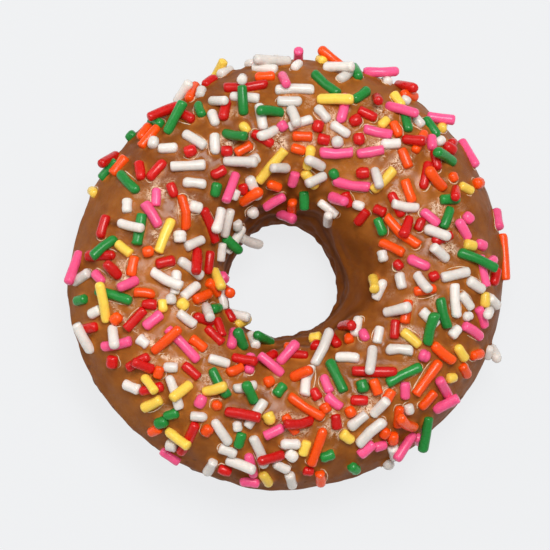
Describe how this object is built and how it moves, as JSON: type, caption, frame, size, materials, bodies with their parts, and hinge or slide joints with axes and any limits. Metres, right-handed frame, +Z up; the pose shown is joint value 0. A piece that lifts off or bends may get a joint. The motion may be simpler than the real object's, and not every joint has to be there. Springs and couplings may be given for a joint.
{
  "type": "baked doughnut",
  "caption": "Baked ring doughnut with a glossy caramel glaze and scattered sugar sprinkles, round hole through the middle, flat underneath.",
  "frame": {"origin": "middle of the bounding box, on the flat underside", "axes": "+Z up through the hole, out of the glazed side; +X to the right and +Y to the top of the picture"},
  "size_m": [0.088, 0.088, 0.0306],
  "materials": {
    "crust": "browned baked crust, matt with a faint sheen",
    "glaze": "glossy caramel sugar glaze",
    "sprinkle_white": "smooth sugar, low gloss",
    "sprinkle_orange": "smooth sugar, low gloss",
    "sprinkle_red": "smooth sugar, low gloss",
    "sprinkle_pink": "smooth sugar, low gloss",
    "sprinkle_green": "smooth sugar, low gloss",
    "sprinkle_yellow": "smooth sugar, low gloss"
  },
  "bodies": {
    "root": {"cake": "crust", "icing": "glaze"}
  },
  "joints": []
}
